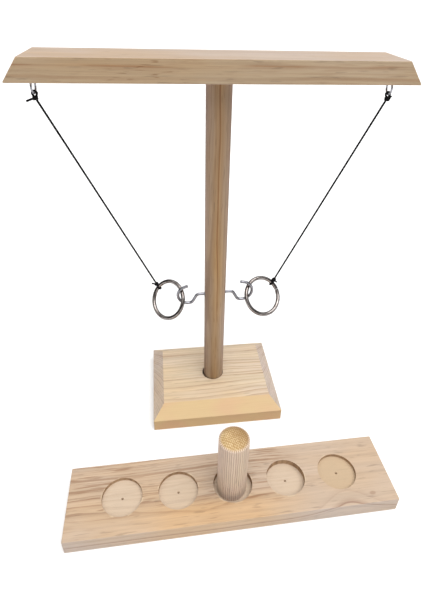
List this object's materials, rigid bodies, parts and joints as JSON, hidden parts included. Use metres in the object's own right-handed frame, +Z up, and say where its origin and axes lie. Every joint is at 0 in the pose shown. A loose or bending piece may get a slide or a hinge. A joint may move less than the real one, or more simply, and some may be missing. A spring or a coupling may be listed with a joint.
{
  "type": "ring toss game",
  "caption": "Tabletop hook-and-ring toss stand: crossbeam on a post, corded steel rings, wire hooks, and a score board with a marker peg.",
  "frame": {"origin": "on the table under the middle of the whole set's bounding box", "axes": "+Z up along the post, +X along the crossbeam to the right, +Y to the back, so the score board lies towards -Y"},
  "size_m": [0.3186, 0.2325, 0.3716],
  "materials": {
    "pine_base": "bare planed pine",
    "pine_post": "bare turned dowel",
    "pine_beam": "bare planed pine",
    "pine_board": "bare planed pine",
    "pine_peg": "bare fluted dowel",
    "zinc_steel": "zinc-plated wire",
    "nickel_ring": "polished nickel plate",
    "black_cord": "waxed braided cord"
  },
  "bodies": {
    "plinth": {"base": "pine_base"},
    "stand": {"post": "pine_post", "crossbeam": "pine_beam", "base_screw": "zinc_steel", "left_eye_screw": "zinc_steel", "right_eye_screw": "zinc_steel", "left_hook": "zinc_steel", "right_hook": "zinc_steel"},
    "left_line": {"left_cord": "black_cord", "left_beam_knot": "black_cord", "left_ring_knot": "black_cord", "left_ring": "nickel_ring"},
    "right_line": {"right_cord": "black_cord", "right_beam_knot": "black_cord", "right_ring_knot": "black_cord", "right_ring": "nickel_ring"},
    "board": {"score_board": "pine_board"},
    "peg": {"marker_peg": "pine_peg"}
  },
  "joints": [
    {"name": "post_turn", "type": "hinge", "parent": "plinth", "child": "stand", "pos_m": [0, 0.0588, 0.009], "axis": [0, 0, 1], "continuous": true},
    {"name": "left_cord_swing", "type": "hinge", "parent": "stand", "child": "left_line", "pos_m": [-0.145, 0.0588, 0.3419], "axis": [-0.2553, 0.9669, 0], "range_deg": [0, 100]},
    {"name": "right_cord_swing", "type": "hinge", "parent": "stand", "child": "right_line", "pos_m": [0.145, 0.0588, 0.3419], "axis": [-0.1704, -0.9854, 0], "range_deg": [0, 100]},
    {"name": "board_shift", "type": "slide", "parent": "plinth", "child": "board", "axis": [0, -1, 0], "range_m": [0, 0.1]},
    {"name": "peg_lift", "type": "slide", "parent": "board", "child": "peg", "axis": [0, 0, 1], "range_m": [0, 0.06]}
  ]
}
